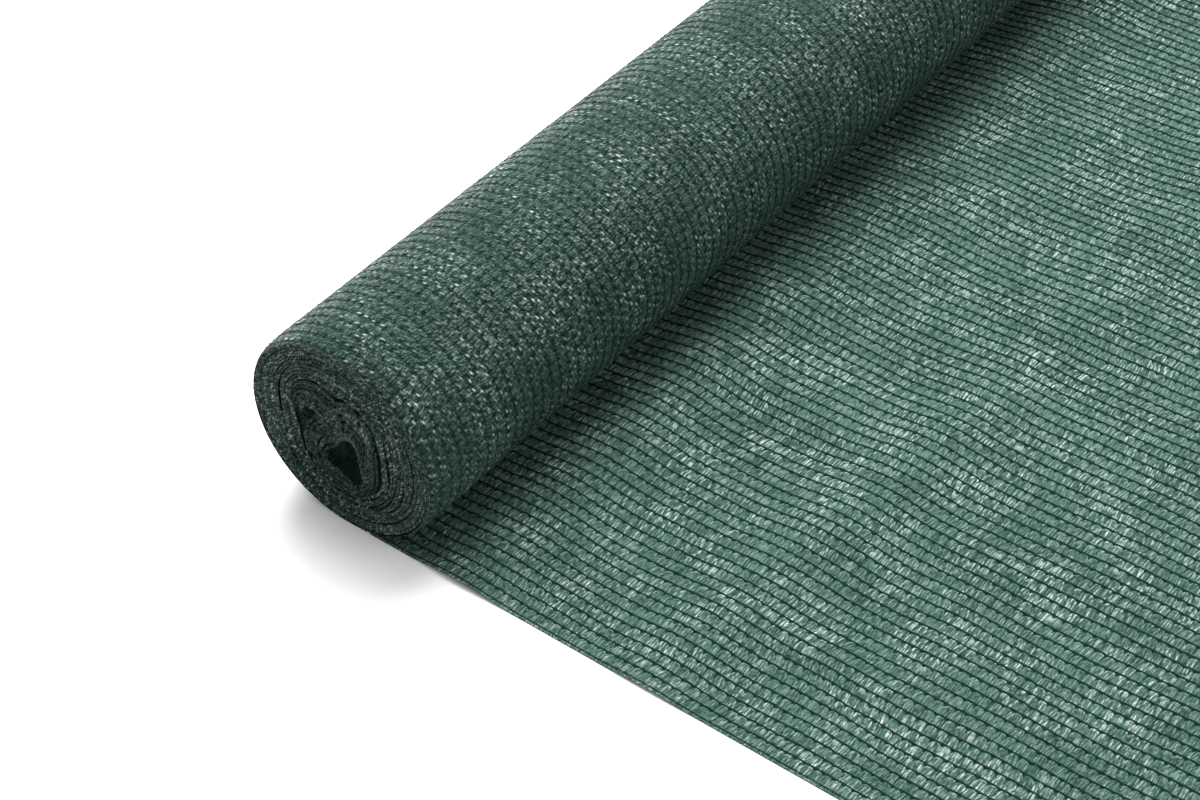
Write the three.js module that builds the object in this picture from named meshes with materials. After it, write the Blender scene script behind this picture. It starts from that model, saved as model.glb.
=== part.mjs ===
// A roll of green knitted privacy netting lying on its side, with the loose end of its last turn
// drawn out flat on the floor. Millimetres, +Z up. The roll lies along Y, the loose end runs to +X.
import * as THREE from "three";
import { mergeVertices } from "three/addons/utils/BufferGeometryUtils.js";

// Driving dimensions
const NET_WIDTH = 1000; // the cloth's width, which is the roll's length
const ROLL_RADIUS = 50;
const ROLL_SINK = 1.5; // how far the roll's own weight flattens its underside
const LOOSE_LENGTH = 450; // from under the roll's axis to the cut end
const CLOTH_THICKNESS = 1.5;
const GAP = 0.3; // between the roll and the loose end at the nip
const NIP_REACH = 24; // how far from the nip the roll still holds the cloth down
const REST_BAND = 0.7; // folds lower than this lie flat on the floor
const RIM_BEND = 2.2; // how far from each end the outermost turn starts to bend inwards

// Mesh density
const ROLL_SIDES = 60;
const ROLL_STATIONS = 10;
const SHEET_STEPS_X = 36;
const SHEET_STEPS_Y = 32;

const AXIS_HEIGHT = ROLL_RADIUS - ROLL_SINK;

// The loose end begins in the nip, where its full thickness first fits under the roll. The roll's
// surface rises slowly there, so the gap square to it is wider along the floor.
const NIP_X = Math.sqrt(ROLL_RADIUS ** 2 - (AXIS_HEIGHT - CLOTH_THICKNESS) ** 2);
const SHEET_START = NIP_X + (GAP * ROLL_RADIUS) / NIP_X;

// One end of the roll from its middle to its rim: how far each ring of turns stands back from the
// foremost edge of the cloth. The turns are wound unevenly, so the rings step in and out.
const END_RINGS = [
  { radius: 0, inset: 4.6 },
  { radius: 3.5, inset: 4.4 },
  { radius: 7, inset: 4.0 },
  { radius: 11, inset: 3.4 },
  { radius: 16, inset: 3.0 },
  { radius: 22, inset: 2.4 },
  { radius: 28, inset: 2.9 },
  { radius: 34, inset: 1.8 },
  { radius: 40, inset: 2.4 },
  { radius: 45, inset: 1.2 },
  { radius: 48.4, inset: 0.2 },
  { radius: 49.7, inset: 0.6 },
];

// The innermost turns are folded over loosely and leave two openings in each end.
// x and z are measured from the roll's axis.
const CORE_PITS = [
  { x: -3, z: -14, reach: 8, depth: 13 },
  { x: -18.5, z: 3.5, reach: 4.5, depth: 5 },
];

// Where the turns stand out or lie slack: angle from straight up towards +X, in degrees.
const BULGES = [
  { angle: 232, spread: 42, midY: 0, reachY: 420, height: 2.0 },
  { angle: 60, spread: 55, midY: 360, reachY: 240, height: 0.8 },
  { angle: 330, spread: 45, midY: 620, reachY: 260, height: 0.7 },
  { angle: 110, spread: 40, midY: 800, reachY: 200, height: -0.8 },
  { angle: 250, spread: 50, midY: 900, reachY: 260, height: 0.9 },
];

// Near the floor the roll's own weight keeps it round.
const HELD_ROUND = { angle: 165, spread: 30 };

// The folds of the loose end: soft ridges that run roughly along the roll.
// x is the crest's place at midY, lean is its drift in x for each millimetre of y.
const RIDGES = [
  { x: 62, lean: -0.02, halfWidth: 28, midY: 190, reachY: 150, height: 5.6 },
  { x: 56, lean: 0.0, halfWidth: 25, midY: 20, reachY: 110, height: 2.3 },
  { x: 98, lean: 0.1, halfWidth: 30, midY: 330, reachY: 110, height: 3.2 },
  { x: 60, lean: 0.03, halfWidth: 28, midY: 560, reachY: 170, height: 5.2 },
  { x: 55, lean: -0.02, halfWidth: 26, midY: 860, reachY: 170, height: 5.8 },
  { x: 170, lean: 0.07, halfWidth: 26, midY: 150, reachY: 95, height: 5.2 },
  { x: 154, lean: 0.0, halfWidth: 25, midY: 40, reachY: 70, height: 2.6 },
  { x: 234, lean: -0.1, halfWidth: 19, midY: 100, reachY: 60, height: 2.2 },
  { x: 188, lean: 0.05, halfWidth: 29, midY: 430, reachY: 150, height: 4.0 },
  { x: 155, lean: -0.04, halfWidth: 26, midY: 760, reachY: 160, height: 5.0 },
  { x: 278, lean: 0.06, halfWidth: 30, midY: 300, reachY: 150, height: 3.2 },
  { x: 266, lean: -0.05, halfWidth: 28, midY: 690, reachY: 200, height: 4.2 },
  { x: 352, lean: 0.04, halfWidth: 30, midY: 160, reachY: 170, height: 2.8 },
  { x: 352, lean: -0.03, halfWidth: 32, midY: 560, reachY: 190, height: 3.8 },
  { x: 452, lean: 0.0, halfWidth: 24, midY: 300, reachY: 190, height: 5.5 },
  { x: 452, lean: 0.0, halfWidth: 26, midY: 820, reachY: 150, height: 4.5 },
];

const material = (color) =>
  new THREE.MeshStandardMaterial({ color, roughness: 0.55, metalness: 0 });
const rollGreen = material(0x3d5750);
const sheetGreen = material(0x5b8475);

// A smooth hump of height 1 that fades out over about twice its reach.
const hump = (distance, reach) => Math.exp(-((distance / reach) ** 2));

// The shortest way round between two angles in degrees.
const turnBetween = (a, b) => ((((a - b) % 360) + 540) % 360) - 180;

// The roll's radius at one angle and one place along it.
function bulgeAt(angle, y) {
  let sum = 0;
  for (const b of BULGES) {
    sum += b.height * hump(turnBetween(angle, b.angle), b.spread) * hump(y - b.midY, b.reachY);
  }
  return sum * (1 - hump(turnBetween(angle, HELD_ROUND.angle), HELD_ROUND.spread));
}

// How much further back the core's openings set a point of the end face.
function pitAt(x, z) {
  let sum = 0;
  for (const p of CORE_PITS) {
    sum += p.depth * hump(Math.hypot(x - p.x, z - p.z), p.reach);
  }
  return sum;
}

// How high the loose end's underside lies above the floor.
function liftAt(x, y) {
  let sum = 0;
  for (const r of RIDGES) {
    const crest = r.x + r.lean * (y - r.midY);
    sum += r.height * hump(x - crest, r.halfWidth) * hump(y - r.midY, r.reachY);
  }
  const free = Math.max(0, sum - REST_BAND);
  const released = THREE.MathUtils.smoothstep(x, SHEET_START, SHEET_START + NIP_REACH);
  return (released * free * free) / (free + REST_BAND);
}

// Leaves only the vertices' places, with shared ones merged, so that the surface is closed.
function closedSurface(geometry) {
  geometry.deleteAttribute("normal");
  geometry.deleteAttribute("uv");
  return mergeVertices(geometry, 1e-3);
}

// The wound turns: a profile turned about Y, then pushed out at the bulges, set back at the core and
// pressed flat where it rests.
function rollGeometry() {
  const profile = [];
  for (const ring of END_RINGS) {
    profile.push(new THREE.Vector2(ring.radius, ring.inset));
  }
  for (let i = 0; i < ROLL_STATIONS; i++) {
    const y = THREE.MathUtils.lerp(RIM_BEND, NET_WIDTH - RIM_BEND, i / (ROLL_STATIONS - 1));
    profile.push(new THREE.Vector2(ROLL_RADIUS, y));
  }
  for (const ring of END_RINGS.toReversed()) {
    profile.push(new THREE.Vector2(ring.radius, NET_WIDTH - ring.inset));
  }

  const geometry = new THREE.LatheGeometry(profile, ROLL_SIDES);
  const place = geometry.getAttribute("position");
  const point = new THREE.Vector3();
  for (let i = 0; i < place.count; i++) {
    point.fromBufferAttribute(place, i);
    const radius = Math.hypot(point.x, point.z);
    if (radius > 0) {
      const angle = THREE.MathUtils.radToDeg(Math.atan2(point.x, point.z));
      const growth = 1 + bulgeAt(angle, point.y) / ROLL_RADIUS;
      point.x *= growth;
      point.z *= growth;
    }
    if (radius < END_RINGS.at(-1).radius) {
      const towardsMiddle = point.y < NET_WIDTH / 2 ? 1 : -1;
      point.y += towardsMiddle * pitAt(point.x, point.z);
    }
    point.z = Math.max(0, point.z + AXIS_HEIGHT);
    place.setXYZ(i, point.x, point.y, point.z);
  }
  return closedSurface(geometry);
}

// The loose end: a flat strip of cloth whose two faces are lifted together over the folds.
function sheetGeometry() {
  const length = LOOSE_LENGTH - SHEET_START;
  const geometry = new THREE.BoxGeometry(
    length, NET_WIDTH, CLOTH_THICKNESS, SHEET_STEPS_X, SHEET_STEPS_Y, 1,
  );
  geometry.translate(SHEET_START + length / 2, NET_WIDTH / 2, CLOTH_THICKNESS / 2);
  const place = geometry.getAttribute("position");
  for (let i = 0; i < place.count; i++) {
    place.setZ(i, place.getZ(i) + liftAt(place.getX(i), place.getY(i)));
  }
  return closedSurface(geometry);
}

function piece(name, geometry, finish) {
  const mesh = new THREE.Mesh(geometry, finish);
  mesh.name = name;
  return mesh;
}

// The frame's origin is on the floor under the middle of the whole object.
const netting = new THREE.Group();
netting.add(piece("netting_roll", rollGeometry(), rollGreen));
netting.add(piece("netting_sheet", sheetGeometry(), sheetGreen));
const extent = new THREE.Box3().setFromObject(netting);
const middle = extent.getCenter(new THREE.Vector3());
netting.position.set(-middle.x, -middle.y, -extent.min.z);

export default netting;
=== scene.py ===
"""Dresses a roll of green knitted privacy netting that lies on its side with its last turn drawn out.

Lengths are in metres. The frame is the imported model's: the roll lies along Y, the loose end runs to
+X on the floor and +Z is up. Every surface is first worked out in the roll's own coordinates, with
x = 0 under the roll's axis, y = 0 at its near end and z = 0 on the floor, and then shifted as one.
"""
import logging
from dataclasses import dataclass
from enum import Enum
from typing import Any, Protocol

import bpy
import numpy as np
from mathutils import Matrix, Vector


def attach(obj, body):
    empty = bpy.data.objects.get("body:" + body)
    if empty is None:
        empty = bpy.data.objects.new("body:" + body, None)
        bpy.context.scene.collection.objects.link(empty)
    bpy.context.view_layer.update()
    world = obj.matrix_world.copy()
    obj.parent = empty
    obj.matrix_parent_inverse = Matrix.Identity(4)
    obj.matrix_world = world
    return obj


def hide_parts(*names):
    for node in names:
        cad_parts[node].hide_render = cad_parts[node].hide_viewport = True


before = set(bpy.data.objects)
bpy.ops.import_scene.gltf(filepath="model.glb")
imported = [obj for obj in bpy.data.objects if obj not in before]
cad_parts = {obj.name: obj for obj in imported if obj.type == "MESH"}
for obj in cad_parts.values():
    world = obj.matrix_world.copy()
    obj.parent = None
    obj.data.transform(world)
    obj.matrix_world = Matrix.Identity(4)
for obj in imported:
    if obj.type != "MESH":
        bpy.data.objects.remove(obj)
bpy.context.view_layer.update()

Array = np.ndarray
Object = bpy.types.Object
Socket = bpy.types.NodeSocket
Triple = tuple[float, float, float]
Pair = tuple[float, float]

LOG = logging.getLogger("netting")
MM = 0.001
STITCH = 4.55 * MM  # stitches along a rib
RIB = 5.98 * MM  # ribs across the cloth, on the average
WIDTH = 1.0  # of the cloth, which is the roll's length
MIDDLE = 0.4995  # of the cloth's width, in the metres of its own pattern
FRAME_SHIFT = np.array([-0.199559, -0.5, 0.0])  # from roll coordinates to the frame's
LOWEST = 0.05 * MM  # how close the roll comes to the floor
WAVES = 8  # sine waves in a pattern of unrest


def hump(distance: Array, reach: float) -> Array:
    """A smooth hump of height 1: e to the minus square of distance over reach."""
    return np.exp(-((distance / reach) ** 2))


def smooth_step(value: Array, low: float, high: float) -> Array:
    """Rises from 0 at low to 1 at high along 3t squared minus 2t cubed."""
    t = np.clip((value - low) / (high - low), 0.0, 1.0)
    return t * t * (3.0 - 2.0 * t)


def wander(a: Array, b: Array, lengths: Pair, seed: int) -> Array:
    """Slow, even unrest over a surface: a sum of sine waves of random direction and phase.

    Args:
        a: the first coordinate of each point.
        b: the second coordinate of each point.
        lengths: the shortest typical wave along a and along b.
        seed: picks one pattern.

    Returns:
        One value for each point, with a spread of about 0.5 and seldom past 1.5.
    """
    rng = np.random.default_rng(seed)
    total = np.zeros(np.broadcast(a, b).shape)
    for _ in range(WAVES):
        turn = rng.uniform(0.0, 2.0 * np.pi)
        stretch = rng.uniform(1.0, 2.4)
        wave_a = np.cos(turn) / (lengths[0] * stretch)
        wave_b = np.sin(turn) / (lengths[1] * stretch)
        total = total + np.sin(2.0 * np.pi * (a * wave_a + b * wave_b) + rng.uniform(0.0, 6.28))
    return total / (WAVES / 2)


class Knit(Enum):
    """Which face of the cloth shows, as the rows of points that shape each tape.

    A row has its place from the rib above to the one below, its height, the share of the stitch that
    it covers and the height of its two ends against its middle.
    """

    # the loose end: tapes swell under each rib and lie flat above the next
    DOMED = (
        (0.06, 0.15, 0.56, 0.50),
        (0.27, 1.00, 0.92, 0.30),
        (0.56, 0.70, 1.06, 0.75),
        (0.98, 0.45, 1.08, 0.85),
    )
    # the wound turns: tapes swell on both sides of each rib
    EVEN = (
        (0.04, 0.25, 0.62, 0.50),
        (0.24, 1.00, 0.98, 0.30),
        (0.50, 0.55, 1.06, 0.75),
        (0.76, 1.00, 0.98, 0.30),
        (0.96, 0.25, 0.62, 0.50),
    )


@dataclass(frozen=True)
class Bulge:
    """A place where the wound turns stand out or lie slack, in degrees from up and millimetres."""

    angle: float
    spread: float
    mid_y: float
    reach_y: float
    height: float


@dataclass(frozen=True)
class Ridge:
    """A fold of the loose end, in millimetres: a soft crest at x for y = mid_y that drifts by lean."""

    x: float
    lean: float
    half_width: float
    mid_y: float
    reach_y: float
    height: float


class Surface(Protocol):
    """A sheet of cloth in the space of its length s and its width y."""

    def at(self, s: Array, y: Array, h: Array) -> Array:
        """The points h above the cloth's lower face at (s, y)."""


@dataclass
class LaidSurface:
    """The loose end on the floor, with the same folds as its solid."""

    start: float = 9.5 * MM  # where the cloth comes free of the roll's flattened underside
    nip: float = 17.94 * MM  # where its full thickness first fits under the roll
    end: float = 450.0 * MM
    nip_reach: float = 24.0 * MM  # how far from the nip the roll still holds it down
    pressed: float = 0.2  # what is left of its thickness at the start
    full: float = 18.94 * MM  # from here on it has its full thickness
    rest_band: float = 0.7 * MM  # folds lower than this lie flat on the floor
    foot: float = 0.12 * MM
    probe: float = 0.5 * MM  # the step that measures its slope
    ridges: tuple[Ridge, ...] = (
        Ridge(62, -0.02, 28, 190, 150, 5.6),
        Ridge(56, 0.0, 25, 20, 110, 2.3),
        Ridge(98, 0.1, 30, 330, 110, 3.2),
        Ridge(60, 0.03, 28, 560, 170, 5.2),
        Ridge(55, -0.02, 26, 860, 170, 5.8),
        Ridge(170, 0.07, 26, 150, 95, 5.2),
        Ridge(154, 0.0, 25, 40, 70, 2.6),
        Ridge(234, -0.1, 19, 100, 60, 2.2),
        Ridge(188, 0.05, 29, 430, 150, 4.0),
        Ridge(155, -0.04, 26, 760, 160, 5.0),
        Ridge(278, 0.06, 30, 300, 150, 3.2),
        Ridge(266, -0.05, 28, 690, 200, 4.2),
        Ridge(352, 0.04, 30, 160, 170, 2.8),
        Ridge(352, -0.03, 32, 560, 190, 3.8),
        Ridge(452, 0.0, 24, 300, 190, 5.5),
        Ridge(452, 0.0, 26, 820, 150, 4.5),
    )

    def lift(self, x: Array, y: Array) -> Array:
        """How high the underside lies: the ridges' sum, less what the cloth's weight presses flat.

        Args:
            x: distance from under the roll's axis.
            y: distance from the near edge.

        Returns:
            The height over the floor, zero where the cloth rests on it.
        """
        total = np.zeros(np.broadcast(x, y).shape)
        for r in self.ridges:
            crest = r.x * MM + r.lean * (y - r.mid_y * MM)
            across = hump(x - crest, r.half_width * MM)
            total = total + r.height * MM * across * hump(y - r.mid_y * MM, r.reach_y * MM)
        free = np.maximum(0.0, total - self.rest_band)
        released = smooth_step(x, self.nip, self.nip + self.nip_reach)
        return released * free * free / (free + self.rest_band)

    def at(self, s: Array, y: Array, h: Array) -> Array:
        """The points h above the underside, square to it; under the roll the cloth is pressed thin.

        Args:
            s: distance along the cloth, which is x here.
            y: distance from the near edge.
            h: height over the underside.

        Returns:
            Points in roll coordinates, one row of three for each.
        """
        d = self.probe
        z = self.lift(s, y)
        slope_x = (self.lift(s + d, y) - self.lift(s - d, y)) / (2 * d)
        slope_y = (self.lift(s, y + d) - self.lift(s, y - d)) / (2 * d)
        up = 1.0 / np.sqrt(1.0 + slope_x**2 + slope_y**2)
        thin = self.pressed + (1.0 - self.pressed) * smooth_step(s, self.start, self.full)
        tall = h * up * thin
        return np.stack([s - slope_x * tall, y - slope_y * tall, self.foot + z + tall], -1)


@dataclass
class WoundSurface:
    """The outermost turn of the roll, with the same bulges and flat underside as its solid."""

    radius: float = 50.0 * MM
    sink: float = 1.5 * MM
    under: float = 0.95 * MM  # from the roll's outline to the turn's inner face
    rim_bend: float = 2.2 * MM
    rim_tuck: float = 0.45 * MM
    curl_in: float = 13.0 * MM
    curl_least: float = 0.5 * MM
    curl_most: float = 2.2 * MM
    curl_angle: float = 28.0
    curl_spread: float = 76.0
    held_angle: float = 165.0
    held_spread: float = 30.0
    start_angle: float = 158.0
    step_in: float = 0.5 * MM
    bulges: tuple[Bulge, ...] = (
        Bulge(232, 42, 0, 420, 2.0),
        Bulge(60, 55, 360, 240, 0.8),
        Bulge(330, 45, 620, 260, 0.7),
        Bulge(110, 40, 800, 200, -0.8),
        Bulge(250, 50, 900, 260, 0.9),
    )

    @property
    def axis_height(self) -> float:
        """The roll's axis over the floor."""
        return self.radius - self.sink

    @staticmethod
    def turn(a: Array, b: float) -> Array:
        """The shortest way round from b to a, in degrees."""
        return (a - b + 540.0) % 360.0 - 180.0

    def curl(self, degrees: Array) -> Array:
        """How far the outer turns sag inwards at the very end: most on the side that faces up."""
        facing = hump(self.turn(degrees, self.curl_angle), self.curl_spread)
        return self.curl_least + (self.curl_most - self.curl_least) * facing

    def growth(self, degrees: Array, y: Array) -> Array:
        """By what the radius is multiplied: one plus the bulges' sum over the radius.

        Args:
            degrees: angle from straight up towards +X.
            y: distance from the near end.

        Returns:
            One factor near 1 for each point.
        """
        total = np.zeros(np.broadcast(degrees, y).shape)
        for b in self.bulges:
            spread = hump(self.turn(degrees, b.angle), b.spread)
            total = total + b.height * MM * spread * hump(y - b.mid_y * MM, b.reach_y * MM)
        total = total * (1.0 - hump(self.turn(degrees, self.held_angle), self.held_spread))
        return 1.0 + total / self.radius

    def at(self, s: Array, y: Array, h: Array) -> Array:
        """The points h outside the turn's inner face.

        Args:
            s: distance round the roll from the nip, under it and up its back first.
            y: distance from the near end.
            h: height over the turn's inner face.

        Returns:
            Points in roll coordinates, one row of three for each.
        """
        degrees = self.start_angle + np.degrees(s / self.radius)
        edge = np.minimum(y, WIDTH - y)
        bend = self.rim_tuck * np.clip(1.0 - edge / self.rim_bend, 0.0, 1.0) ** 2
        bend = bend + self.curl(degrees) * np.clip(1.0 - edge / self.curl_in, 0.0, 1.0) ** 2
        tuck = self.step_in * s / (2.0 * np.pi * self.radius)
        r = (self.radius - self.under - bend - tuck + h) * self.growth(degrees, y)
        a = np.radians(degrees)
        z = self.axis_height + r * np.cos(a)
        return np.stack([r * np.sin(a), y, np.maximum(z, LOWEST)], -1)


class Piece:
    """Makes meshes from whole arrays."""

    @staticmethod
    def build(name: str, points: Array, quads: Array, uv: Array) -> Object:
        """One smooth mesh of quads with its own UV map.

        Args:
            name: the piece's name.
            points: one row of three for each vertex, in roll coordinates.
            quads: four vertex numbers for each face, counter-clockwise from outside.
            uv: the cloth's own coordinates for each vertex, in metres.

        Returns:
            The new object, at the origin, unturned and unscaled.
        """
        mesh = bpy.data.meshes.new(name)
        flat = np.ascontiguousarray((points + FRAME_SHIFT).reshape(-1), np.float32)
        corners = np.ascontiguousarray(quads.reshape(-1), np.int32)
        mesh.vertices.add(len(flat) // 3)
        mesh.vertices.foreach_set("co", flat)
        mesh.loops.add(len(corners))
        mesh.loops.foreach_set("vertex_index", corners)
        mesh.polygons.add(len(quads))
        mesh.polygons.foreach_set("loop_start", np.arange(0, len(corners), 4, dtype=np.int32))
        mesh.polygons.foreach_set("use_smooth", np.ones(len(quads), bool))
        layer = mesh.uv_layers.new(name="cloth")
        layer.data.foreach_set("uv", np.ascontiguousarray(uv[corners].reshape(-1), np.float32))
        mesh.update(calc_edges=True)
        mesh.validate()
        made = bpy.data.objects.new(name, mesh)
        bpy.context.scene.collection.objects.link(made)
        LOG.info("%s: %d quads", name, len(quads))
        return made

    @staticmethod
    def grid_quads(rows: int, columns: int) -> Array:
        """The faces of a grid whose vertices are numbered row by row.

        Args:
            rows: vertices along the first direction.
            columns: vertices along the second direction.

        Returns:
            Four vertex numbers for each face; the faces look along first cross second.
        """
        n = np.arange(rows * columns, dtype=np.int32).reshape(rows, columns)
        corners = [n[:-1, :-1], n[1:, :-1], n[1:, 1:], n[:-1, 1:]]
        return np.stack([c.reshape(-1) for c in corners], -1)

    @staticmethod
    def repeated(quads: Array, count: int, size: int) -> Array:
        """The same faces for many small grids that follow each other in one vertex list."""
        offsets = (np.arange(count, dtype=np.int32) * size)[:, None, None]
        return (quads[None] + offsets).reshape(-1, 4)


@dataclass(frozen=True)
class Unrest:
    """How unevenly the cloth is knitted: each field is the spread of one measure by chance."""

    lean: float = 0.06  # of a tape, in stitches
    wide: float = 0.04  # of a tape's width, as a share
    off: float = 0.05  # of a tape's middle, in stitches
    swell: float = 0.16  # of a tape's height, as a share
    tilt: float = 0.5  # of the height from one end of a tape to the other, as a share
    loose: float = 0.09  # of every point, in heights of a tape
    thick: float = 0.08  # of a rib's radius, as a share
    waver: float = 0.10 * MM  # of a rib's line


@dataclass
class KnitField:
    """The knitted pattern of one stretch of cloth: its ribs run along s and its tapes along y."""

    surface: Surface
    knit: Knit
    s_range: Pair
    seed: int
    tape_height: float
    rib_radius: float
    packed: float  # how much closer the ribs lie at the very edges
    sway: float
    unrest: Unrest = Unrest()
    first_rib: float = 1.7 * MM
    packed_reach: float = 0.07
    still: Pair = (2.0 * MM, 16.0 * MM)  # from the edge, where the sway sets in
    slow_wave: Pair = (55.0 * MM, 42.0 * MM)
    fine_wave: Pair = (16.0 * MM, 9.0 * MM)
    fine_sway: float = 0.20 * MM
    drift: float = 0.28  # how far a stitch strays along its rib, in stitches
    drift_wave: Pair = (90.0 * MM, 26.0 * MM)
    square: int = 4  # stitches at both ends over which the straying dies out
    ground: float = 0.10 * MM
    lowest: float = 0.12 * MM  # the feet of ribs and tapes
    tape_base: float = 0.16 * MM
    edge_swell: float = 0.3  # of the strips outside the first and the last rib
    slim: float = 0.78  # a rib's radius between two knots
    edge_rib: float = 0.62  # the radius of the first and the last rib
    zigzag: float = 0.09 * MM
    rib_base: float = 0.30 * MM
    rib_rise: float = 1.15  # a rib's height in its radii

    @property
    def ribs(self) -> int:
        """How many ribs lie across the cloth's width."""
        return int(round((WIDTH - 2 * self.first_rib) / RIB)) + 1

    @property
    def stitches(self) -> int:
        """How many stitches lie along this stretch."""
        return int(round((self.s_range[1] - self.s_range[0]) / STITCH))

    @property
    def pitch(self) -> float:
        """The length of one stitch here."""
        return (self.s_range[1] - self.s_range[0]) / self.stitches

    def rib_y(self, s: Array, rib: Array) -> Array:
        """Where a rib lies: its share of the width, drawn towards the edges, plus a slow sway.

        The ribs lie closest at both edges: their spacing is the plain one less a part that fades by
        e to the minus share over reach from each edge. The sway stops at the edges.

        Args:
            s: distance along the cloth.
            rib: the rib's number from the near edge.

        Returns:
            The distance from the near edge.
        """
        t = rib / (self.ribs - 1)
        reach = self.packed_reach
        drawn = self.packed * reach
        edge = drawn * (1.0 - np.exp(-1.0 / reach))
        t = t + drawn * (np.exp(-t / reach) - np.exp((t - 1.0) / reach))
        t = (t - edge) / (1.0 - 2.0 * edge)
        y = self.first_rib + t * (WIDTH - 2 * self.first_rib)
        y = np.clip(y, 0.0, WIDTH)
        free = smooth_step(y, *self.still) * smooth_step(WIDTH - y, *self.still)
        slow = wander(s, y, self.slow_wave, self.seed)
        fine = wander(s, y, self.fine_wave, self.seed + 1)
        return y + free * (self.sway * slow + self.fine_sway * fine)

    def stitch_s(self, stitch: Array, rib: Array) -> Array:
        """Where a stitch lies along its rib: its number times the pitch, with each rib a little off.

        Args:
            stitch: the stitch's number, which may be a fraction.
            rib: the rib's number.

        Returns:
            The distance along the cloth.
        """
        low, high = self.s_range
        s = low + stitch * self.pitch
        calm = self.square * self.pitch
        free = smooth_step(s, low, low + calm) * smooth_step(-s, -high, -high + calm)
        stray = wander(s, rib * RIB, self.drift_wave, self.seed + 2)
        return s + free * self.drift * self.pitch * stray

    def pattern(self, stitch: Array, rib: Array) -> Array:
        """The cloth's own coordinates: stitch and rib numbers times their plain pitches, in metres."""
        stitch, rib = np.broadcast_arrays(stitch, rib)
        return np.stack([stitch * STITCH, rib * RIB], -1).reshape(-1, 2)

    def cloth(self, name: str) -> Object:
        """The closed ground of the cloth: one vertex for each stitch of each rib, just over the floor.

        Args:
            name: the piece's name.

        Returns:
            The new object.
        """
        stitch, rib = np.meshgrid(
            np.arange(self.stitches + 1.0), np.arange(-1.0, self.ribs + 1.0), indexing="ij"
        )
        s = self.stitch_s(stitch, rib)
        y = self.rib_y(s, rib)
        points = self.surface.at(s, y, np.full(s.shape, self.ground)).reshape(-1, 3)
        return Piece.build(name, points, Piece.grid_quads(*s.shape), self.pattern(stitch, rib))

    def tapes(self, name: str, gap_range: tuple[int, int]) -> Object:
        """The tapes between the ribs, one small swelling strip for each stitch.

        Each strip is a grid of the knit's rows across the gap and three columns along the rib. A
        point's height is the base plus the strip's swell times its row's height, less at the row's
        ends. Each strip leans, widens, swells and tilts a little by chance. The gaps outside the
        first and the last rib reach to the cloth's edges, and their strips lie nearly flat.

        Args:
            name: the piece's name.
            gap_range: the first gap, by the rib below it, and the one after the last.

        Returns:
            The new object.
        """
        rng = np.random.default_rng(self.seed + 10 + gap_range[0])
        rows = np.array(self.knit.value)
        place, height, cover, ends = (column[None, :, None] for column in rows.T)
        gaps = np.arange(*gap_range, dtype=float)
        stitch, gap = np.meshgrid(np.arange(self.stitches) + 0.5, gaps, indexing="ij")
        stitch, gap = stitch.reshape(-1, 1, 1), gap.reshape(-1, 1, 1)
        one, by_chance = (len(stitch), 1, 1), self.unrest

        side = np.array([-0.5, 0.0, 0.5])
        lean = rng.normal(0.0, by_chance.lean, one) * (place - 0.4)
        wide = cover * rng.normal(1.0, by_chance.wide, one)
        off = rng.normal(0.0, by_chance.off, one) * (1 - np.abs(side) * 2)
        shift = side * wide + lean + off
        s = self.stitch_s(stitch, gap + 1.0 - place) + self.pitch * shift
        s = np.clip(s, *self.s_range)
        upper = self.rib_y(s, gap + 1.0)
        lower = self.rib_y(s, gap)
        y = upper + (lower - upper) * place

        swell = self.tape_height * rng.normal(1.0, by_chance.swell, one).clip(0.5, 1.5)
        swell = np.where((gap < 0) | (gap > self.ribs - 2), self.edge_swell * swell, swell)
        tilt = 1.0 + side * rng.normal(0.0, by_chance.tilt, one)
        loose = rng.normal(0.0, by_chance.loose, (len(stitch), len(rows), 3))
        arch = height * np.where(side == 0.0, 1.0, ends) * tilt
        h = np.maximum(self.tape_base + swell * (arch + loose), self.lowest)

        points = self.surface.at(s, y, h).reshape(-1, 3)
        uv = self.pattern(stitch + shift, gap + 1.0 - place)
        quads = Piece.repeated(Piece.grid_quads(len(rows), 3), len(stitch), 3 * len(rows))
        return Piece.build(name, points, quads, uv)

    def rib_yarns(self, name: str) -> Object:
        """The chain-stitched ribs: low arches that thicken at every stitch and waver a little.

        Two rings a stitch; the arch's half width is the radius at a knot and less between two, and
        its crest is the base plus a little more than the radius. The first and the last rib are
        slimmer and don't waver, so that the edges are even.

        Args:
            name: the piece's name.

        Returns:
            The new object.
        """
        rng = np.random.default_rng(self.seed + 5)
        rings = self.stitches * 2 + 1
        step, rib = np.meshgrid(np.arange(rings) / 2.0, np.arange(float(self.ribs)), indexing="xy")
        at_knot = (np.arange(rings) % 2 == 0)[None, :]
        thick = np.where(at_knot, 1.0, self.slim) * rng.normal(1.0, self.unrest.thick, step.shape)
        waver = rng.normal(0.0, self.unrest.waver, step.shape) + self.zigzag * (1 - 2 * at_knot)
        outermost = (rib == 0) | (rib == self.ribs - 1)
        radius = self.rib_radius * np.where(outermost, self.edge_rib, thick)
        s = self.stitch_s(step, rib)
        y = self.rib_y(s, rib) + np.where(outermost, 0.0, waver)
        side = np.array([-1.0, 0.0, 1.0])
        y3 = y[..., None] + side * radius[..., None]
        s3 = np.broadcast_to(s[..., None], y3.shape)
        foot = np.full(s.shape, self.lowest)
        h = np.stack([foot, self.rib_base + self.rib_rise * radius, foot], -1)
        points = self.surface.at(s3, y3, h).reshape(-1, 3)
        uv = self.pattern(step[..., None], rib[..., None] + side * radius[..., None] / RIB)
        quads = Piece.repeated(Piece.grid_quads(rings, 3), self.ribs, rings * 3)
        return Piece.build(name, points, quads, uv)


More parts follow.
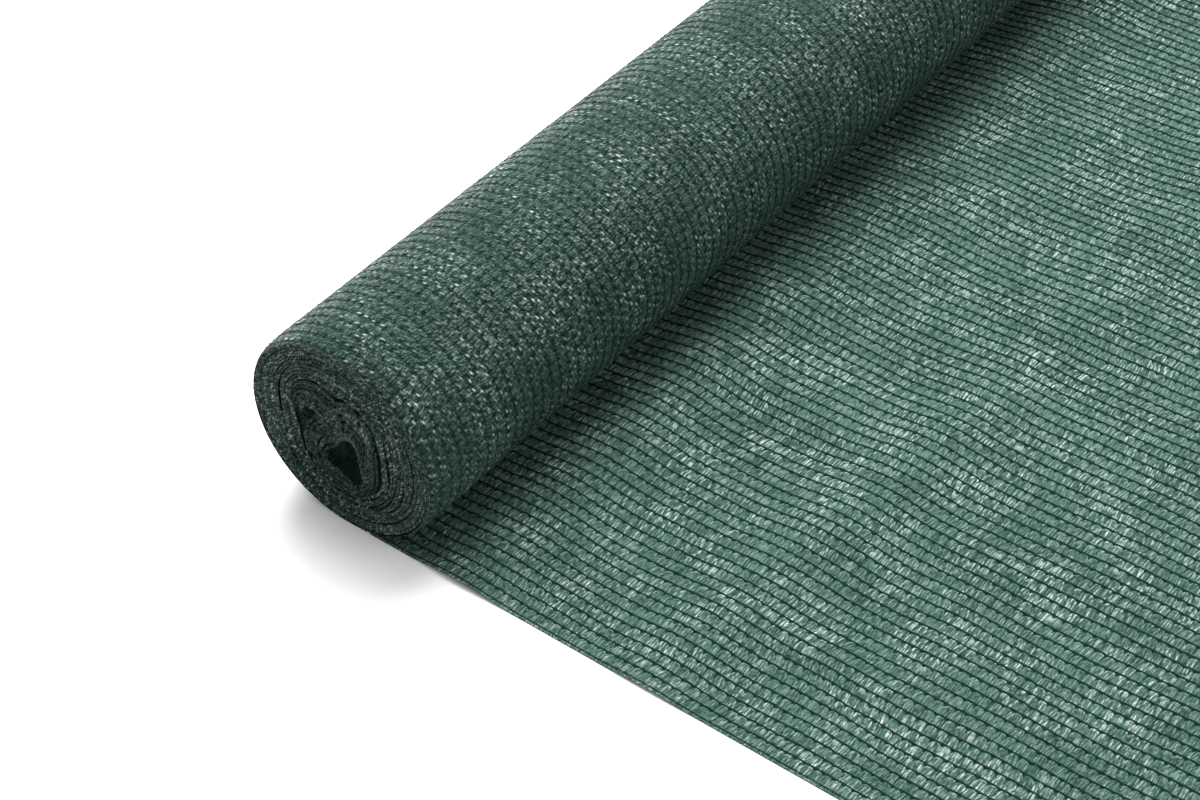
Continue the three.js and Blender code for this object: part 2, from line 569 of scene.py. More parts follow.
@dataclass(frozen=True)
class Loop:
    """A closed line in the roll's end, in millimetres from the axis.

    Its radius round its own centre is the mean radius times one plus a two-lobed and a three-lobed
    wave; two_at and three_at are the angles at which these stand out most, from up towards +X.
    """

    x: float
    z: float
    radius: float
    two: float = 0.0
    two_at: float = 0.0
    three: float = 0.0
    three_at: float = 0.0

    def at(self, theta: Array) -> Array:
        """The line's points.

        Args:
            theta: angle round the loop's centre, from up towards +X, in radians.

        Returns:
            x and z of each point from the roll's axis, in metres.
        """
        two = self.two * np.cos(2.0 * (theta - np.radians(self.two_at)))
        three = self.three * np.cos(3.0 * (theta - np.radians(self.three_at)))
        r = self.radius * (1.0 + two + three)
        return np.stack([self.x + r * np.sin(theta), self.z + r * np.cos(theta)], -1) * MM


@dataclass(frozen=True)
class Wrap:
    """A line drawn tight round two or three round bundles, straight where it leaves them."""

    bundles: tuple[Loop, ...]
    x: float
    z: float
    radius: float  # the mean reach, which sets the spacing of the turns
    nearest: float = 4.0
    furthest: float = 36.0

    def at(self, theta: Array) -> Array:
        """The line's points: the furthest place along each ray that is still inside the wrap.

        Args:
            theta: angle round the wrap's centre, from up towards +X, in radians.

        Returns:
            x and z of each point from the roll's axis, in metres.
        """
        ring = np.linspace(0.0, 2.0 * np.pi, 241)
        reach = np.linspace(self.nearest, self.furthest, 321)[:, None, None]
        share = np.linspace(0.0, 1.0, 25)[None, None, :]
        px = self.x + reach * np.sin(ring)[None, :, None]
        pz = self.z + reach * np.cos(ring)[None, :, None]
        far = np.zeros(len(ring))
        for a, b in zip(self.bundles, self.bundles[1:] + self.bundles[:1]):
            cx = a.x + share * (b.x - a.x)
            cz = a.z + share * (b.z - a.z)
            size = a.radius + share * (b.radius - a.radius)
            inside = (np.hypot(px - cx, pz - cz) - size).min(-1) <= 0.0
            far = np.maximum(far, np.where(inside, reach[:, :, 0], 0.0).max(0))
        r = np.interp(theta % (2.0 * np.pi), ring, far)
        return np.stack([self.x + r * np.sin(theta), self.z + r * np.cos(theta)], -1) * MM


@dataclass(frozen=True)
class Winding:
    """Turns of cloth seen end on, which fill the space from an outer line to an inner one."""

    outer: Loop | Wrap
    inner: Loop | Wrap
    turns: float
    start: float
    seed: int
    sunk: float = 0.0
    rim: bool = False  # the winding whose first turn is the roll's outermost


@dataclass(frozen=True)
class Groove:
    """A turn that lies deeper, most at one angle; radius and depth in millimetres."""

    radius: float
    depth: float
    angle: float


@dataclass(frozen=True)
class Opening:
    """An opening between the innermost turns, in millimetres from the axis."""

    x: float
    z: float
    inset: float  # how much deeper the turns round it lie
    reach: float
    depth: float  # how much deeper the dark inside lies behind it
    depth_reach: float

    def near(self, x: Array, z: Array, reach: float) -> Array:
        """A hump of the distance to the opening's middle."""
        return hump(np.hypot(x / MM - self.x, z / MM - self.z), reach)


@dataclass(frozen=True)
class Crease:
    """A short dark fold between turns, in millimetres from the axis."""

    x: float
    z: float
    to_x: float
    to_z: float
    depth: float
    reach: float

    def at(self, x: Array, z: Array) -> Array:
        """How much deeper it sets each point: a hump of the distance to the line.

        Args:
            x: distance from the axis towards +X.
            z: height over the axis.

        Returns:
            One depth for each point.
        """
        run_x, run_z = self.to_x - self.x, self.to_z - self.z
        along = ((x / MM - self.x) * run_x + (z / MM - self.z) * run_z) / (run_x**2 + run_z**2)
        along = np.clip(along, 0.0, 1.0)
        away = np.hypot(x / MM - self.x - along * run_x, z / MM - self.z - along * run_z)
        return self.depth * MM * hump(away, self.reach)


@dataclass
class RollEnd:
    """One end of the roll: the cloth's edges, turn on turn, round two loose bundles in the middle.

    Rings give the mean inset at a radius, in millimetres. The profile gives places across one turn,
    as a share of it, and how deep they lie in the groove between two turns. A wave's two lengths are
    in radians round the end and in turns.
    """

    wound: WoundSurface
    far: bool
    seed: int
    step: float = 1.0 * MM
    rings: tuple[Pair, ...] = (
        (0, 4.6), (7, 4.0), (11, 3.4), (16, 3.0), (22, 2.4), (28, 2.9),
        (34, 1.8), (40, 2.4), (45, 1.2), (48.4, 0.2), (49.7, 0.6),
    )
    profile: tuple[Pair, ...] = (
        (0.0, 1.0), (0.14, 0.40), (0.32, 0.08), (0.5, 0.0), (0.68, 0.12), (0.86, 0.45), (1.0, 1.0),
    )
    grooves: tuple[Groove, ...] = (
        Groove(35.5, 1.6, 110.0), Groove(27.0, 0.9, 95.0), Groove(45.0, 0.6, 330.0),
        Groove(40.5, 0.8, 345.0), Groove(33.5, 0.9, 330.0), Groove(38.5, 0.8, 240.0),
    )
    creases: tuple[Crease, ...] = (
        Crease(-9.0, -16.0, -22.0, -21.5, 2.2, 1.3),
        Crease(2.0, 21.0, 7.0, 14.0, 2.4, 1.3),
        Crease(9.0, 23.0, 18.0, 19.5, 1.8, 0.9),
        Crease(-25.0, -8.0, -19.0, -5.0, 1.8, 1.6),
    )
    hollow: Opening = Opening(-3.5, -17.0, 3.5, 8.0, 22.0, 10.0)
    eye: Opening = Opening(-20.0, 2.0, 2.6, 4.0, 3.6, 5.0)
    stray: float = 0.32  # how far a turn strays towards the next, in turns
    stray_wave: Pair = (19 / 9, 2.2)
    own: float = 0.7 * MM  # how far a whole turn stands in or out
    own_wave: Pair = (34 / 14, 1.3)
    ragged: float = 0.26 * MM  # unrest along an edge
    fibres: float = 0.12 * MM  # unrest of every point
    notch: float = 1.0 * MM  # mean depth of the groove between two turns
    notch_varies: float = 0.6 * MM
    notch_least: float = 0.35 * MM
    notch_wave: Pair = (18 / 12, 2.0)
    border_notch: float = 0.3  # share of that depth at a winding's first and last turn
    groove_reach: float = 1.5 * MM
    groove_spread: float = 80.0
    rim_band: float = 5.0 * MM
    turn_width: float = 1.8 * MM  # of the pattern on the edges
    least_inset: float = 0.1 * MM
    bulge_band: Pair = (8.0 * MM, 40.0 * MM)  # radii where the bulges fade in
    slack_band: Pair = (30.0 * MM, 49.0 * MM)  # radii where the sag fades in
    inside_radius: float = 46.0 * MM
    inside_inset: float = 2.6 * MM  # how far behind the edges the dark inside lies

    def windings(self) -> tuple[Winding, ...]:
        """The outer turns first, then the two bundles that they wrap."""
        rim = Loop(0.0, 0.0, 49.1)
        lower, upper, side = Loop(-4.5, -12.0, 21.0), Loop(-11.5, 7.5, 17.0), Loop(1.5, 6.5, 15.0)
        hull = Wrap((lower, upper, side), -5.0, -3.0, 24.0)
        large = Wrap((Loop(-4.5, -12.0, 21.2), Loop(1.5, 6.0, 15.2)), -3.0, -7.0, 20.0)
        small = Loop(-12.8, 8.1, 16.0, 0.04, 60.0)
        hollow = Loop(self.hollow.x, self.hollow.z, 8.8, 0.14, 5.0, 0.28, 25.0)
        eye = Loop(self.eye.x, self.eye.z, 3.3, 0.25, 80.0)
        return (
            Winding(rim, hull, 12.6, 158.0, self.seed, rim=True),
            Winding(large, hollow, 6.0, 70.0, self.seed + 20, sunk=0.3),
            Winding(small, eye, 6.2, 250.0, self.seed + 40),
        )

    def strip(self, winding: Winding) -> tuple[Array, ...]:
        """One wound strip seen end on.

        A point is on the way from the outer line to the inner one by the share of the turns that lie
        outside it. Across the strip the cloth's edge stands out in the middle and falls back into a
        groove on both sides; each turn stands in or out a little by itself and its edge is ragged.

        Args:
            winding: the turns to draw.

        Returns:
            x, z, inset and UV of a grid of steps by the places across the strip.
        """
        big, small = winding.outer.radius * MM, winding.inner.radius * MM
        drop = (big - small) / (2.0 * np.pi * winding.turns)
        length = (big**2 - small**2) / (2.0 * drop)
        along = np.linspace(0.0, length, int(length / self.step) + 1)
        angle = ((big - np.sqrt(np.maximum(big**2 - 2.0 * drop * along, 0.0))) / drop)[:, None]
        across, depth = np.array(self.profile).T
        turn = angle / (2.0 * np.pi) + across
        share = turn / (winding.turns + 1.0)
        loose = smooth_step(share, 0.0, 0.2) * smooth_step(1.06 - share, 0.0, 0.2)
        stray = wander(angle, turn, self.stray_wave, winding.seed)
        share = share + loose * self.stray / winding.turns * stray
        theta = np.radians(winding.start) + angle + np.zeros_like(across)
        outside, inside = winding.outer.at(theta), winding.inner.at(theta)
        place = outside + (inside - outside) * share[..., None]
        x, z = place[..., 0], place[..., 1]
        r = np.hypot(x, z)

        radii, insets = np.array(self.rings).T * MM
        inset = np.interp(r, radii, insets) + winding.sunk * MM
        for opening in (self.hollow, self.eye):
            inset = inset + opening.inset * MM * opening.near(x, z, opening.reach)
        for crease in self.creases:
            inset = inset + crease.at(x, z)
        own = self.own * wander(angle, np.floor(turn), self.own_wave, winding.seed + 3)
        if winding.rim:
            own = own * smooth_step(big - r, 0.0, self.rim_band)
        rng = np.random.default_rng(winding.seed + 9)
        ragged = rng.normal(0.0, self.ragged, (len(along), 1)) * (1.0 - depth)
        ragged = ragged + rng.normal(0.0, self.fibres, x.shape)

        notch = wander(angle, turn, self.notch_wave, winding.seed + 4)
        notch = self.notch + self.notch_varies * notch
        for groove in self.grooves:
            near = hump(r - groove.radius * MM, self.groove_reach)
            facing = hump(self.wound.turn(np.degrees(theta), groove.angle), self.groove_spread)
            notch = notch + groove.depth * MM * near * facing
        border = smooth_step(share, 0.0, 0.1) * smooth_step(1.0 - share, 0.0, 0.1)
        border = self.border_notch + (1.0 - self.border_notch) * border
        inset = inset + own + ragged + np.maximum(notch, self.notch_least) * border * depth
        uv = np.stack([along[:, None] + 0 * across, turn * self.turn_width], -1)
        return x, z, inset, uv

    def seated(self, x: Array, z: Array, inset: Array) -> Array:
        """The end's points in roll coordinates, with the roll's own bulges and its slack rim.

        Args:
            x: distance from the axis towards +X.
            z: height over the axis.
            inset: how far back from the foremost edge.

        Returns:
            Points in roll coordinates, one row of three for each.
        """
        degrees = np.degrees(np.arctan2(x, z))
        y = np.maximum(inset, self.least_inset)
        place = WIDTH - y if self.far else y
        r = np.hypot(x, z)
        grow = 1.0 + (self.wound.growth(degrees, place) - 1.0) * smooth_step(r, *self.bulge_band)
        slack = self.wound.curl(degrees) - self.wound.curl_least
        grow = grow - slack / self.wound.radius * smooth_step(r, *self.slack_band)
        high = np.maximum(z * grow + self.wound.axis_height, LOWEST)
        return np.stack([x * grow, place, high], -1).reshape(-1, 3)

    def build(self, name: str, windings: tuple[Winding, ...]) -> Object:
        """The turns' edges as one mesh.

        Args:
            name: the piece's name.
            windings: which of the end's turns to draw.

        Returns:
            The new object.
        """
        points, uvs, quads, start = [], [], [], 0
        for winding in windings:
            x, z, inset, uv = self.strip(winding)
            points.append(self.seated(x, z, inset))
            uvs.append(uv.reshape(-1, 2))
            face = Piece.grid_quads(*x.shape) + start
            quads.append(face if self.far else face[:, ::-1])
            start += x.size
        return Piece.build(name, np.concatenate(points), np.concatenate(quads), np.concatenate(uvs))

    def inside(self, name: str) -> Object:
        """The inside behind the edges: a disc with two deep dents at the openings. Its dark
        finish is painted shade in the depths between the turns.

        Args:
            name: the piece's name.

        Returns:
            The new object.
        """
        turn, ring = np.meshgrid(np.linspace(0, 2 * np.pi, 61), np.linspace(0.0, 1.0, 16))
        r = self.inside_radius * ring
        x, z = r * np.sin(turn), r * np.cos(turn)
        radii, insets = np.array(self.rings).T * MM
        inset = self.inside_inset + np.interp(r, radii, insets)
        for opening in (self.hollow, self.eye):
            inset = inset + opening.depth * MM * opening.near(x, z, opening.depth_reach)
        uv = np.stack([turn, ring], -1).reshape(-1, 2) * 0.05
        face = Piece.grid_quads(*x.shape)
        return Piece.build(name, self.seated(x, z, inset), face[:, ::-1] if self.far else face, uv)


@dataclass
class Wiring:
    """Adds nodes to one shader tree and links them."""

    tree: bpy.types.NodeTree

    def feed(self, node: bpy.types.Node, inputs: dict[str | int, Any]) -> None:
        """Links or sets the inputs of a node.

        Args:
            node: the node.
            inputs: by the input's name or number, a socket to link or a value to set.
        """
        for key, value in inputs.items():
            if isinstance(value, Socket):
                self.tree.links.new(value, node.inputs[key])
            else:
                node.inputs[key].default_value = value

    def node(self, kind: str, inputs: dict[str | int, Any], **options: Any) -> Any:
        """A new node.

        Args:
            kind: its type's name after "ShaderNode".
            inputs: what to link or set, as for feed.
            options: the node's own settings, which come first.

        Returns:
            Its outputs.
        """
        made = self.tree.nodes.new("ShaderNode" + kind)
        for option, value in options.items():
            setattr(made, option, value)
        self.feed(made, inputs)
        return made.outputs

    def math(self, operation: str, *terms: Socket | float) -> Socket:
        """A sum, product or the like of sockets and plain numbers."""
        return self.node("Math", dict(enumerate(terms)), operation=operation)[0]

    def ramp(self, source: Socket, low: float, high: float, to: Pair) -> Socket:
        """A value carried from low..high to the given two, and held there beyond them."""
        ends = {"From Min": low, "From Max": high, "To Min": to[0], "To Max": to[1]}
        return self.node("MapRange", {"Value": source, **ends})["Result"]

    def noise(self, source: Socket, scale: float, detail: float, kind: str = "Fac") -> Socket:
        """A soft noise over the given coordinates, as a value or a colour."""
        return self.node("TexNoise", {"Vector": source, "Scale": scale, "Detail": detail})[kind]

    def moved(self, source: Socket, by: Triple, plus: Socket | Triple) -> Socket:
        """A vector times by, plus another."""
        return self.node("VectorMath", {0: source, 1: by, 2: plus}, operation="MULTIPLY_ADD")[0]

    def cells(self, source: Socket, randomness: float) -> tuple[Socket, ...]:
        """Cells of one unit.

        Args:
            source: coordinates that count the cells.
            randomness: how far a cell's point may lie from its place in a plain grid.

        Returns:
            The distance to the cell's point and two random values of the cell.
        """
        inputs = {"Vector": source, "Scale": 1.0, "Randomness": randomness}
        found = self.node("TexVoronoi", inputs, voronoi_dimensions="2D")
        split = self.node("SeparateColor", {"Color": found["Color"]})
        return found["Distance"], split["Red"], split["Green"]

    def mix(self, factor: Socket, low: Socket | Triple, high: Triple) -> Socket:
        """A colour from low at factor 0 to high at factor 1."""
        low = low if isinstance(low, Socket) else (*low, 1.0)
        return self.node("Mix", {0: factor, 6: low, 7: (*high, 1.0)}, data_type="RGBA")[2]


class Groups:
    """The shader node group that every finish of the netting shares."""

    VECTORS = ("Place", "Cloth")
    AMOUNTS = ("Streaks", "Dots", "Holes", "Rows", "Rim_shade")
    RESULTS = ("Height", "Tone", "Shine", "Painted glint", "Painted pit shade")

    def __init__(self) -> None:
        """Builds the group once."""
        self.film = self._film()

    def _film(self) -> bpy.types.NodeTree:
        """Knitted slit film: flattened strands side by side, stitch tops and openings.

        Place is scaled so that one strand fills about one unit each way. It is bent a little by
        noise, then cut into cells; a strand is highest at its cell's middle. Its tone is a mix of
        its own random value, its height, which paints shade into the creases between strands, its
        shine, which paints the shiny strands lighter as a painted highlight, and a slow change over
        the cloth. Cloth counts metres in the knit's own rows: one cell for each stitch and half a rib
        spacing marks the stitches' tops, skewed because the tops on the two sides of a rib are half a
        stitch apart, and the same cells half a stitch on mark the openings. Painted glints, light
        tones on shiny strands and stitch tops, come in slow patches of the cloth, as if its unrest
        turned them to the light. The openings and broken lines along the ribs are darkened as painted
        shade, and so are the cloth's two edges, where the rim curls away from the light.

        Returns:
            The group's tree.
        """
        tree = bpy.data.node_groups.new("knitted film", "ShaderNodeTree")
        for names, side, kind in (
            (self.VECTORS, "INPUT", "NodeSocketVector"),
            (self.AMOUNTS, "INPUT", "NodeSocketFloat"),
            (self.RESULTS, "OUTPUT", "NodeSocketFloat"),
        ):
            for name in names:
                tree.interface.new_socket(name, in_out=side, socket_type=kind)
        given, result = tree.nodes.new("NodeGroupInput").outputs, tree.nodes.new("NodeGroupOutput")
        wiring = Wiring(tree)
        math, ramp, noise = wiring.math, wiring.ramp, wiring.noise
        place, cloth = given["Place"], given["Cloth"]
        falling, rising, patchy = (1.0, 0.0), (0.0, 1.0), (0.25, 1.0)

        # the strands
        bent = wiring.moved(noise(place, 0.45, 1.0, "Color"), (1.3, 0.3, 0.0), place)
        away, own, shine = wiring.cells(bent, 1.0)
        rise = ramp(away, 0.0, 0.75, falling)
        strand = math("MULTIPLY_ADD", noise(bent, 3.0, 1.0), 0.45, rise)

        # the stitches' tops and the openings between them
        across = wiring.node("SeparateXYZ", {0: cloth})["Y"]
        skew = (1.0 / STITCH, -1.0 / RIB, 0.0)
        skewed = wiring.node("VectorMath", {0: cloth, 1: skew}, operation="DOT_PRODUCT")["Value"]
        halves = math("MULTIPLY", across, 2.0 / RIB)
        tops = wiring.node("CombineXYZ", {"X": skewed, "Y": halves})[0]
        top_away, top_own, _ = wiring.cells(tops, 0.5)
        between = wiring.moved(tops, (1.0, 1.0, 1.0), (0.5, 0.0, 0.0))
        hole_away, hole_own, _ = wiring.cells(between, 0.55)
        top = math("MULTIPLY", ramp(top_away, 0.06, 0.25, falling), given["Dots"])
        # the openings dip in the bump, and their darkness is painted shade
        hole = math("MULTIPLY", ramp(hole_away, 0.08, 0.27, falling), given["Holes"])
        hole = math("MULTIPLY", hole, ramp(hole_own, 0.15, 0.85, (0.1, 1.0)))

        # painted glints: strands and stitch tops painted light as if they catch the light, in patches
        painted_strand_glint = math("MULTIPLY", ramp(shine, 0.55, 1.0, rising), rise)
        painted_strand_glint = math("MULTIPLY", painted_strand_glint, given["Streaks"])
        painted_top_glint = math("MULTIPLY", top, math("POWER", top_own, 1.5))
        glint_patch = ramp(noise(cloth, 38.0, 2.0), 0.42, 0.64, patchy)
        painted_glint = math("MULTIPLY", math("ADD", painted_strand_glint, painted_top_glint), glint_patch)

        # painted shade: the broken dark lines along the ribs, where a rib ties the tapes down
        row = math("FRACT", math("MULTIPLY_ADD", across, 1.0 / RIB, 0.5))
        row = ramp(math("ABSOLUTE", math("SUBTRACT", row, 0.5)), 0.04, 0.15, falling)
        broken = ramp(noise(cloth, 60.0, 1.0), 0.40, 0.56, patchy)
        row = math("MULTIPLY", math("MULTIPLY", row, broken), given["Rows"])

        # the tone: its height paints shade into the creases between strands, its shine paints a
        # highlight on shiny strands, and it is darker at the cloth's two edges as painted shade
        tone = math("MULTIPLY_ADD", own, 0.20, math("MULTIPLY", rise, 0.41))
        tone = math("MULTIPLY_ADD", shine, 0.16, tone)
        tone = math("MULTIPLY_ADD", noise(cloth, 24.0, 2.0), 0.25, tone)
        tone = ramp(tone, 0.22, 0.82, rising)
        # painted shade at the two edges, where the rim curls away from the light
        edge = math("ABSOLUTE", math("SUBTRACT", across, MIDDLE))
        edge = math("MULTIPLY", ramp(edge, 0.482, 0.499, rising), given["Rim_shade"])

        height = math("MULTIPLY_ADD", hole, -1.6, math("MULTIPLY_ADD", top, 0.9, strand))
        wiring.feed(result, {
            "Height": height,
            "Tone": math("MULTIPLY", tone, math("SUBTRACT", 1.0, edge)),
            "Shine": math("MAXIMUM", shine, math("MULTIPLY", top, 0.9)),
            "Painted glint": painted_glint,
            "Painted pit shade": math("MAXIMUM", hole, row),
        })
        return tree


@dataclass(frozen=True)
class NetFinish:
    """Polyethylene tape or yarn: its tones, its gloss and how its strands are creased."""

    name: str
    slot: str
    dark: Triple
    light: Triple
    painted_glint: Triple = (0.05, 0.1, 0.08)  # painted glint: the tone of a strand or stitch top painted as if it catches the light
    roughness: Pair = (0.8, 0.7)  # of a dull strand and of a shiny one
    strand: Pair = (900.0, 400.0)  # strands a metre along the ribs and across them
    crease: float = 0.2  # height of the strands in millimetres
    gloss: float = 0.1
    streaks: float = 0.0  # how many strands get a painted glint
    dots: float = 0.0  # how clearly the tops of the stitches stand out, in the bump and as painted glints
    holes: float = 0.0  # how deep the openings between the stitches are and how dark, as painted shade
    rows: float = 0.0  # how dark the tapes are where a rib ties them down, as painted shade
    rim_shade: float = 0.0  # the cloth's two edges darker by this share: painted shade where the rim curls
    sheen: float = 0.0  # the soft light that the film gives where it is seen at a low angle

    def material(self, groups: Groups) -> bpy.types.Material:
        """Builds the material with the shared knitted pattern.

        Args:
            groups: the shared node groups.

        Returns:
            The new material.
        """
        made = bpy.data.materials.new(self.name)
        made.use_nodes = True
        wiring = Wiring(made.node_tree)
        cloth = wiring.node("UVMap", {}, uv_map="cloth")["UV"]
        place = wiring.node("Mapping", {"Vector": cloth, "Scale": (*self.strand, 1.0)})["Vector"]
        inputs = {"Place": place, "Cloth": cloth}
        for amount in Groups.AMOUNTS:
            inputs[amount] = getattr(self, amount.lower())
        film = wiring.node("Group", inputs, node_tree=groups.film)
        colour = wiring.mix(film["Tone"], self.dark, self.light)
        # painted glint: a light tone laid over the strands and tops that the group marks
        colour = wiring.mix(film["Painted glint"], colour, self.painted_glint)
        # painted shade: the openings and rib lines are darkened to 0.35 of the dark tone
        colour = wiring.mix(film["Painted pit shade"], colour, tuple(0.35 * c for c in self.dark))
        relief = {"Height": film["Height"], "Strength": 1.0, "Distance": self.crease * MM}
        wiring.feed(made.node_tree.nodes["Principled BSDF"], {
            "Base Color": colour,
            "Roughness": wiring.ramp(film["Shine"], 0.4, 1.0, self.roughness),
            "Normal": wiring.node("Bump", relief)["Normal"],
            "IOR": 1.5,
            "Specular IOR Level": self.gloss,
            "Sheen Weight": self.sheen,
            "Sheen Roughness": 0.35,
            "Sheen Tint": (0.45, 1.0, 0.8, 1.0),
        })
        return made


@dataclass
class Wardrobe:
    """All finishes of the netting."""

    groups: Groups
    # lighter than the wound turns' tapes: painted light that the pale floor sends up through the thin
    # loose cloth
    floor_lit_loose_tape: NetFinish = NetFinish(
        "floor lit loose tape", "net_loose", (0.004, 0.034, 0.023), (0.133, 0.246, 0.208), (0.56, 0.66, 0.61),
        (0.55, 0.16), (1380.0, 300.0), 0.85, 0.2, streaks=1.5, dots=0.1, holes=0.3,
    )
    # darker than the loose end's tapes: painted shade of the dark turns beneath; with painted glints
    shaded_wound_tape: NetFinish = NetFinish(
        "shaded wound tape", "net_wound", (0.001, 0.014, 0.010), (0.039, 0.091, 0.073), (0.58, 0.71, 0.66),
        (0.5, 0.16), (1000.0, 420.0), 0.6, 0.14, streaks=0.38, dots=1.1, holes=0.8, rows=0.2,
        rim_shade=0.45, sheen=0.08,
    )
    # the ground under the tapes is painted dark: painted shade under the tapes, seen through their
    # gaps
    shaded_loose_ground: NetFinish = NetFinish(
        "shaded loose ground", "net_loose", (0.003, 0.022, 0.015), (0.012, 0.048, 0.036),
    )
    shaded_wound_ground: NetFinish = NetFinish(
        "shaded wound ground", "net_wound", (0.002, 0.012, 0.009), (0.008, 0.028, 0.021),
    )
    # painted shade: the turns far inside the end are painted darker than their edges
    inside: NetFinish = NetFinish(
        "shaded deep turns", "net_wound", (0.003, 0.014, 0.010), (0.030, 0.062, 0.050),
        strand=(800.0, 400.0), crease=0.4,
    )
    loose_rib: NetFinish = NetFinish(
        "rib yarn", "rib_yarn", (0.003, 0.016, 0.011), (0.012, 0.044, 0.032),
        roughness=(0.9, 0.7), strand=(700.0, 900.0), gloss=0.05,
    )
    # with painted glints on the ribs of the wound turns
    wound_rib: NetFinish = NetFinish(
        "wound rib yarn", "rib_yarn", (0.001, 0.010, 0.007), (0.020, 0.048, 0.037),
        (0.30, 0.40, 0.36), (0.7, 0.3), (700.0, 900.0), 0.3, 0.15,
        streaks=0.45, holes=0.3, rim_shade=0.45,
    )
    # with painted glints on the turns' edges
    cut_edge: NetFinish = NetFinish(
        "turn edges", "net_wound", (0.001, 0.007, 0.005), (0.062, 0.115, 0.096), (0.46, 0.57, 0.53),
        (0.6, 0.4), (1020.0, 1000.0), 1.0, 0.15, streaks=1.3,
    )
    # darker than the outer turns' edges: painted shade towards the roll's middle; with painted glints
    shaded_core_edge: NetFinish = NetFinish(
        "shaded inner turn edges", "net_wound", (0.001, 0.006, 0.004), (0.042, 0.078, 0.065),
        (0.22, 0.30, 0.27), (0.6, 0.4), (1020.0, 1000.0), 0.95, 0.12, streaks=1.1,
    )

    def dress(self, piece: Object, finish: NetFinish) -> None:
        """Gives a piece its material and lets it ride on the root body.

        Args:
            piece: the piece to dress.
            finish: what it is made of.
        """
        piece.data.materials.append(finish.material(self.groups))
        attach(piece, "root")


@dataclass
class LooseEnd:
    """The last turn, drawn out on the floor."""

    surface: LaidSurface
    wardrobe: Wardrobe

    def build(self) -> None:
        knit = KnitField(
            self.surface, Knit.DOMED, (self.surface.start, self.surface.end), 11,
            tape_height=0.58 * MM, rib_radius=0.64 * MM, packed=0.14, sway=0.6 * MM,
        )
        half = knit.ribs // 2
        cloth = knit.cloth("shaded_loose_ground")
        near = knit.tapes("loose_tapes_near", (-1, half))
        far = knit.tapes("loose_tapes_far", (half, knit.ribs))
        ribs = knit.rib_yarns("loose_ribs")
        self.wardrobe.dress(cloth, self.wardrobe.shaded_loose_ground)
        self.wardrobe.dress(near, self.wardrobe.floor_lit_loose_tape)
        self.wardrobe.dress(far, self.wardrobe.floor_lit_loose_tape)
        self.wardrobe.dress(ribs, self.wardrobe.loose_rib)
        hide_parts("netting_sheet")


@dataclass
class WoundTurns:
    """The roll: its outermost turn and the two ends that show all the others."""

    surface: WoundSurface
    wardrobe: Wardrobe
    overlap: float = 4.0 * MM

    def build(self) -> None:
        around = 2 * np.pi * self.surface.radius + self.overlap
        knit = KnitField(
            self.surface, Knit.EVEN, (0.0, around), 31,
            tape_height=0.62 * MM, rib_radius=0.42 * MM, packed=0.05, sway=0.4 * MM,
        )
        cloth = knit.cloth("shaded_wound_ground")
        tapes = knit.tapes("wound_tapes", (-1, knit.ribs))
        ribs = knit.rib_yarns("wound_ribs")
        pieces = [tapes, ribs]
        for side, is_far, seed in (("near", False, 3), ("far", True, 4)):
            end = RollEnd(self.surface, is_far, seed)
            windings = end.windings()
            outer = end.build("roll_end_" + side, windings[:1])
            core = end.build("roll_core_" + side, windings[1:])
            inside = end.inside("roll_inside_" + side)
            self.wardrobe.dress(outer, self.wardrobe.cut_edge)
            self.wardrobe.dress(core, self.wardrobe.shaded_core_edge)
            self.wardrobe.dress(inside, self.wardrobe.inside)
            pieces += [outer, core, inside]
        self.wardrobe.dress(cloth, self.wardrobe.shaded_wound_ground)
        self.wardrobe.dress(tapes, self.wardrobe.shaded_wound_tape)
        self.wardrobe.dress(ribs, self.wardrobe.wound_rib)
        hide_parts("netting_roll")


@dataclass(frozen=True)
class SoftLight:
    """A square soft light that looks at the netting."""

    name: str
    place: Triple
    size: float
    watts: float
    target: Triple = (-0.05, -0.2, 0.0)

    def hang(self) -> None:
        """Adds the light to the scene."""
        data = bpy.data.lights.new(self.name, "AREA")
        data.shape = "SQUARE"
        data.size = self.size
        data.energy = self.watts
        made = bpy.data.objects.new(self.name, data)
        made.location = self.place
        look = Vector(self.target) - Vector(self.place)
        made.rotation_euler = look.to_track_quat("-Z", "Y").to_euler()
        bpy.context.scene.collection.objects.link(made)


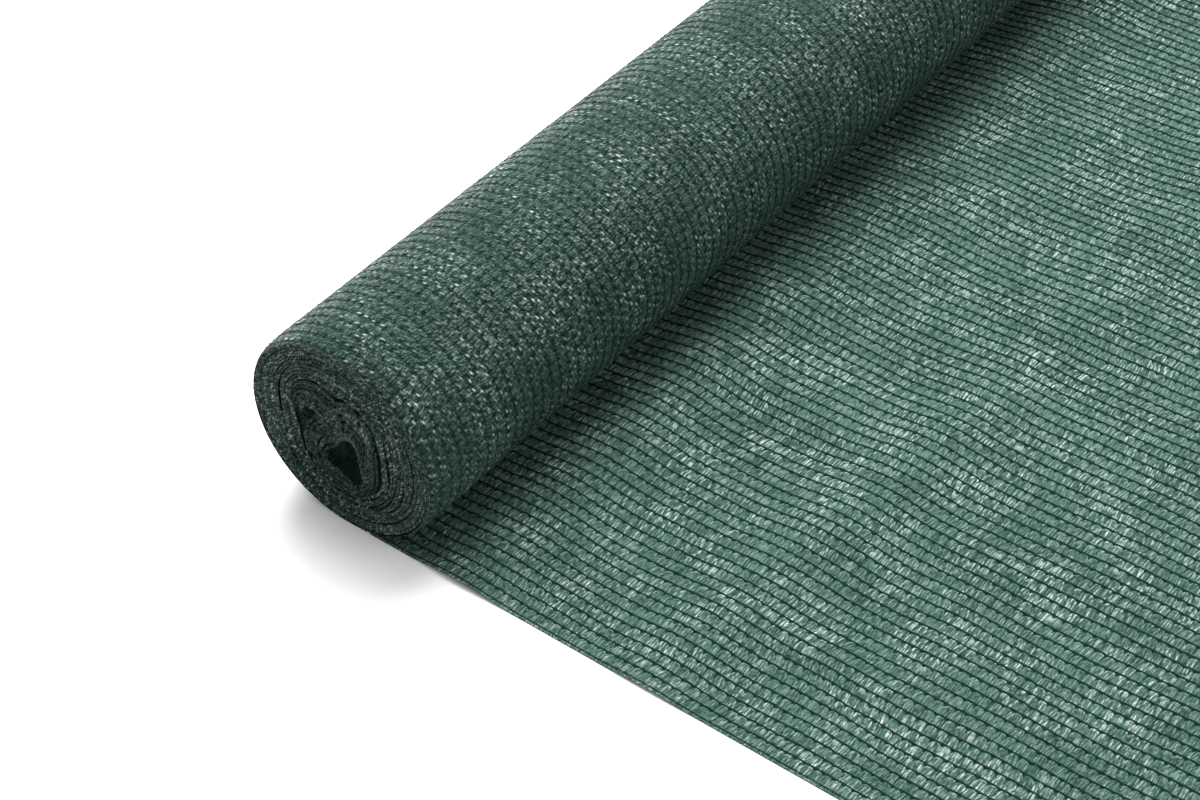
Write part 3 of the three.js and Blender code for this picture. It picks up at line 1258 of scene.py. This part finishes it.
@dataclass
class Studio:
    """A pale floor, soft light from above and behind, and the camera."""

    lights: tuple[SoftLight, ...] = (
        SoftLight("soft back light", (-0.75, 0.62, 1.9), 2.1, 121.0),
        SoftLight("weak side light", (1.6, -0.1, 1.6), 1.2, 5.5),
    )
    surround: float = 0.61
    eye: Triple = (0.35669, -0.98216, 0.73069)
    right: Triple = (0.784416, 0.618501, -0.046356)
    up: Triple = (-0.392218, 0.552551, 0.735427)
    back: Triple = (0.480476, -0.558699, 0.676016)
    lens: float = 73.2
    sensor: float = 36.0
    floor_half: float = 4.0

    def floor(self) -> None:
        """A plain pale floor just under the netting."""
        h = self.floor_half
        corners = [(-h, -h, 0.0), (h, -h, 0.0), (h, h, 0.0), (-h, h, 0.0)]
        mesh = bpy.data.meshes.new("floor")
        mesh.from_pydata(corners, [], [(0, 1, 2, 3)])
        made = bpy.data.objects.new("floor", mesh)
        paint = bpy.data.materials.new("floor paint")
        paint.use_nodes = True
        shader = paint.node_tree.nodes["Principled BSDF"]
        shader.inputs["Base Color"].default_value = (0.97, 0.97, 0.97, 1.0)
        shader.inputs["Roughness"].default_value = 0.9
        mesh.materials.append(paint)
        bpy.context.scene.collection.objects.link(made)

    def camera(self) -> None:
        """The camera at the photograph's angle."""
        data = bpy.data.cameras.new("camera")
        data.lens = self.lens
        data.sensor_width = self.sensor
        made = bpy.data.objects.new("camera", data)
        axes = Matrix((self.right, self.up, self.back)).transposed()
        made.matrix_world = Matrix.Translation(self.eye) @ axes.to_4x4()
        bpy.context.scene.collection.objects.link(made)
        bpy.context.scene.camera = made

    def build(self) -> None:
        """Sets the floor, the lights, the surroundings and the camera."""
        self.floor()
        for light in self.lights:
            light.hang()
        world = bpy.data.worlds.new("studio")
        world.use_nodes = True
        air = world.node_tree.nodes["Background"]
        air.inputs["Color"].default_value = (1.0, 1.0, 1.0, 1.0)
        air.inputs["Strength"].default_value = self.surround
        bpy.context.scene.world = world
        bpy.context.scene.view_settings.view_transform = "Standard"
        self.camera()


def main() -> None:
    """Builds the netting and the studio in order."""
    logging.basicConfig(level=logging.INFO, format="%(name)s: %(message)s")
    wardrobe = Wardrobe(Groups())
    LooseEnd(LaidSurface(), wardrobe).build()
    WoundTurns(WoundSurface(), wardrobe).build()
    Studio().build()


if __name__ == "__main__":
    main()
